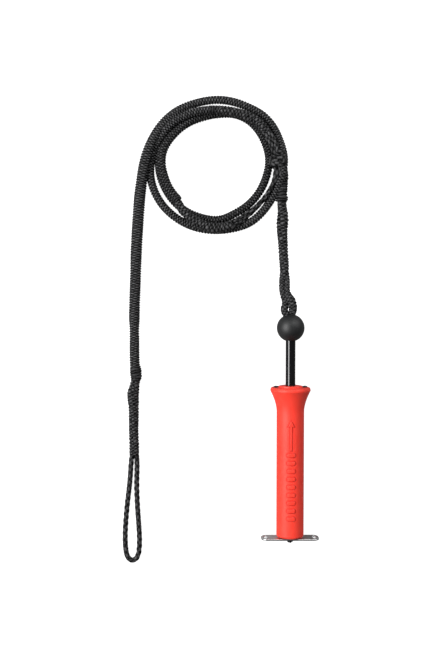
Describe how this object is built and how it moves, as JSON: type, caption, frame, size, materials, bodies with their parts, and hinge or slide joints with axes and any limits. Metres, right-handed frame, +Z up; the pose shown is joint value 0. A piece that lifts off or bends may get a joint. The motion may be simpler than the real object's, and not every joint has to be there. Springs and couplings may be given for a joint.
{
  "type": "tow rope handle",
  "caption": "Push-away release handle with a flared sleeve sliding on a tube, a ball stop, a slotted end plate and a coiled braided rope with an eye loop.",
  "frame": {"origin": "on the ground under the middle of the handle's box, rope left out", "axes": "+Z up from the ground that the handle lies on, +Y along the handle from its end plate to its ball stop, +X to the right with the rope's coil on the -X side"},
  "size_m": [0.164, 0.3956, 0.0333],
  "materials": {
    "red_rubber": "satin moulded rubber grip",
    "red_plastic": "satin moulded plastic",
    "black_plastic": "fine satin moulded plastic",
    "ball_plastic": "satin, soft highlights",
    "black_tube": "gloss black",
    "stainless": "polished with fine brushing",
    "spring_steel": "plain",
    "rope": "braided filament yarn",
    "whipping_twine": "wound waxed twine",
    "loop_line": "fine braided line"
  },
  "bodies": {
    "core": {"tube": "black_tube", "ball_stop": "ball_plastic", "stop_collar": "black_plastic", "collar_grub_screw": "spring_steel", "return_spring": "spring_steel", "chassis": "black_plastic", "chassis_grub_screw": "spring_steel", "core_line": "rope", "line_crimp": "spring_steel", "release_loop": "loop_line", "loop_knot": "loop_line", "near_eye_loop": "rope", "near_splice": "rope", "near_whipping": "whipping_twine", "rope_coil": "rope", "far_lead": "rope", "far_whipping": "whipping_twine", "far_splice": "rope", "far_loop": "rope"},
    "sleeve": {"grip_sleeve": "red_rubber", "top_cap": "red_plastic", "cap_screw_left": "black_plastic", "cap_screw_right": "black_plastic", "pin_carrier": "black_plastic", "release_pin": "stainless"},
    "end_plate": {"plate": "stainless", "plate_bush": "black_plastic"}
  },
  "joints": [
    {"name": "sleeve_slide", "type": "slide", "parent": "core", "child": "sleeve", "axis": [0, 0.999, 0.044], "range_m": [0, 0.036], "stiffness_N_per_m": 250, "springref_m": -0.02, "deforming": ["return_spring"]},
    {"name": "plate_swivel", "type": "hinge", "parent": "core", "child": "end_plate", "pos_m": [0, -0.09107, 0.01121], "axis": [0, 0.999, 0.044], "continuous": true}
  ]
}
